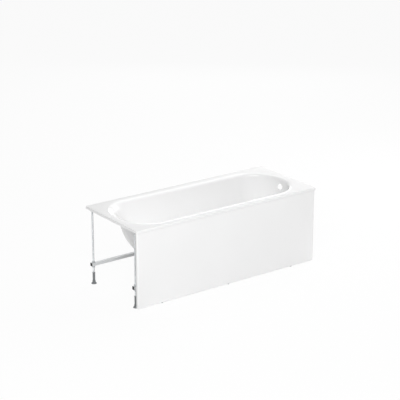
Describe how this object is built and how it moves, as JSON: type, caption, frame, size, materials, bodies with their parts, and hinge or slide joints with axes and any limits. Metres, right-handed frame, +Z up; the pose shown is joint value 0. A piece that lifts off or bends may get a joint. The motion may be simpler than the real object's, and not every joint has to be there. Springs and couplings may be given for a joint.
{
  "type": "acrylic bathtub",
  "caption": "Rectangular built-in acrylic bathtub with a sloping backrest, on a steel frame with screw feet, with a tilt-out front panel.",
  "frame": {"origin": "on the floor, under the middle of the tub's rim", "axes": "+X along the tub towards the drain end, +Y from the front panel towards the back wall, +Z up"},
  "size_m": [1.7, 0.7, 0.62],
  "materials": {
    "white_acrylic": "glossy",
    "board": "raw chipboard",
    "coated_steel": "powder coated",
    "dark_coated_steel": "powder coated",
    "zinc_steel": "zinc plated",
    "spring_steel": "bare",
    "grey_plastic": "moulded",
    "black_plastic": "moulded"
  },
  "bodies": {
    "bath_on_frame": {"tub_shell": "white_acrylic", "base_board": "board", "rail_front": "coated_steel", "rail_back": "coated_steel", "cross_bar_head": "dark_coated_steel", "cross_bar_drain": "dark_coated_steel", "rim_caps": "black_plastic", "rail_plugs": "black_plastic", "cross_bar_plugs": "black_plastic", "frame_nuts": "zinc_steel", "frame_washers": "zinc_steel", "board_screws": "zinc_steel", "catch_rivets": "zinc_steel", "catch_clips": "spring_steel", "post_head_front": "zinc_steel", "stud_head_front": "zinc_steel", "post_drain_front": "zinc_steel", "stud_drain_front": "zinc_steel", "post_head_back": "zinc_steel", "stud_head_back": "zinc_steel", "post_drain_back": "zinc_steel", "stud_drain_back": "zinc_steel"},
    "panel": {"front_panel": "white_acrylic", "panel_battens": "board", "panel_glides": "grey_plastic", "catch_tongues": "grey_plastic"},
    "pad_post_head_front": {"foot_pad_post_head_front": "grey_plastic"},
    "sleeve_post_head_front": {"foot_sleeve_post_head_front": "grey_plastic"},
    "pad_stud_head_front": {"foot_pad_stud_head_front": "grey_plastic"},
    "sleeve_stud_head_front": {"foot_sleeve_stud_head_front": "grey_plastic"},
    "pad_post_drain_front": {"foot_pad_post_drain_front": "grey_plastic"},
    "sleeve_post_drain_front": {"foot_sleeve_post_drain_front": "grey_plastic"},
    "pad_stud_drain_front": {"foot_pad_stud_drain_front": "grey_plastic"},
    "sleeve_stud_drain_front": {"foot_sleeve_stud_drain_front": "grey_plastic"},
    "pad_post_head_back": {"foot_pad_post_head_back": "grey_plastic"},
    "sleeve_post_head_back": {"foot_sleeve_post_head_back": "grey_plastic"},
    "pad_stud_head_back": {"foot_pad_stud_head_back": "grey_plastic"},
    "sleeve_stud_head_back": {"foot_sleeve_stud_head_back": "grey_plastic"},
    "pad_post_drain_back": {"foot_pad_post_drain_back": "grey_plastic"},
    "sleeve_post_drain_back": {"foot_sleeve_post_drain_back": "grey_plastic"},
    "pad_stud_drain_back": {"foot_pad_stud_drain_back": "grey_plastic"},
    "sleeve_stud_drain_back": {"foot_sleeve_stud_drain_back": "grey_plastic"}
  },
  "joints": [
    {"name": "panel_tilt", "type": "hinge", "parent": "bath_on_frame", "child": "panel", "pos_m": [0, -0.347, 0.60088], "axis": [-1, 0, 0], "range_deg": [0, 30]},
    {"name": "foot_height_post_head_front", "type": "slide", "parent": "bath_on_frame", "child": "pad_post_head_front", "axis": [0, 0, -1], "range_m": [-0.02, 0.03]},
    {"name": "foot_turn_post_head_front", "type": "hinge", "parent": "pad_post_head_front", "child": "sleeve_post_head_front", "pos_m": [-0.827, -0.29, 0.05], "axis": [0, 0, -1], "range_deg": [-3630, 5430]},
    {"name": "foot_height_stud_head_front", "type": "slide", "parent": "bath_on_frame", "child": "pad_stud_head_front", "axis": [0, 0, -1], "range_m": [-0.02, 0.03]},
    {"name": "foot_turn_stud_head_front", "type": "hinge", "parent": "pad_stud_head_front", "child": "sleeve_stud_head_front", "pos_m": [-0.3, -0.29, 0.05], "axis": [0, 0, -1], "range_deg": [-3630, 5430]},
    {"name": "foot_height_post_drain_front", "type": "slide", "parent": "bath_on_frame", "child": "pad_post_drain_front", "axis": [0, 0, -1], "range_m": [-0.02, 0.03]},
    {"name": "foot_turn_post_drain_front", "type": "hinge", "parent": "pad_post_drain_front", "child": "sleeve_post_drain_front", "pos_m": [0.827, -0.29, 0.05], "axis": [0, 0, -1], "range_deg": [-3630, 5430]},
    {"name": "foot_height_stud_drain_front", "type": "slide", "parent": "bath_on_frame", "child": "pad_stud_drain_front", "axis": [0, 0, -1], "range_m": [-0.02, 0.03]},
    {"name": "foot_turn_stud_drain_front", "type": "hinge", "parent": "pad_stud_drain_front", "child": "sleeve_stud_drain_front", "pos_m": [0.44, -0.29, 0.05], "axis": [0, 0, -1], "range_deg": [-3630, 5430]},
    {"name": "foot_height_post_head_back", "type": "slide", "parent": "bath_on_frame", "child": "pad_post_head_back", "axis": [0, 0, -1], "range_m": [-0.02, 0.03]},
    {"name": "foot_turn_post_head_back", "type": "hinge", "parent": "pad_post_head_back", "child": "sleeve_post_head_back", "pos_m": [-0.827, 0.29, 0.05], "axis": [0, 0, -1], "range_deg": [-3630, 5430]},
    {"name": "foot_height_stud_head_back", "type": "slide", "parent": "bath_on_frame", "child": "pad_stud_head_back", "axis": [0, 0, -1], "range_m": [-0.02, 0.03]},
    {"name": "foot_turn_stud_head_back", "type": "hinge", "parent": "pad_stud_head_back", "child": "sleeve_stud_head_back", "pos_m": [-0.3, 0.29, 0.05], "axis": [0, 0, -1], "range_deg": [-3630, 5430]},
    {"name": "foot_height_post_drain_back", "type": "slide", "parent": "bath_on_frame", "child": "pad_post_drain_back", "axis": [0, 0, -1], "range_m": [-0.02, 0.03]},
    {"name": "foot_turn_post_drain_back", "type": "hinge", "parent": "pad_post_drain_back", "child": "sleeve_post_drain_back", "pos_m": [0.827, 0.29, 0.05], "axis": [0, 0, -1], "range_deg": [-3630, 5430]},
    {"name": "foot_height_stud_drain_back", "type": "slide", "parent": "bath_on_frame", "child": "pad_stud_drain_back", "axis": [0, 0, -1], "range_m": [-0.02, 0.03]},
    {"name": "foot_turn_stud_drain_back", "type": "hinge", "parent": "pad_stud_drain_back", "child": "sleeve_stud_drain_back", "pos_m": [0.44, 0.29, 0.05], "axis": [0, 0, -1], "range_deg": [-3630, 5430]}
  ],
  "couplings": [
    {"joint": "foot_turn_post_head_front", "follows": "foot_height_post_head_front", "rad_per_m": 3141.6},
    {"joint": "foot_turn_stud_head_front", "follows": "foot_height_stud_head_front", "rad_per_m": 3141.6},
    {"joint": "foot_turn_post_drain_front", "follows": "foot_height_post_drain_front", "rad_per_m": 3141.6},
    {"joint": "foot_turn_stud_drain_front", "follows": "foot_height_stud_drain_front", "rad_per_m": 3141.6},
    {"joint": "foot_turn_post_head_back", "follows": "foot_height_post_head_back", "rad_per_m": 3141.6},
    {"joint": "foot_turn_stud_head_back", "follows": "foot_height_stud_head_back", "rad_per_m": 3141.6},
    {"joint": "foot_turn_post_drain_back", "follows": "foot_height_post_drain_back", "rad_per_m": 3141.6},
    {"joint": "foot_turn_stud_drain_back", "follows": "foot_height_stud_drain_back", "rad_per_m": 3141.6}
  ]
}
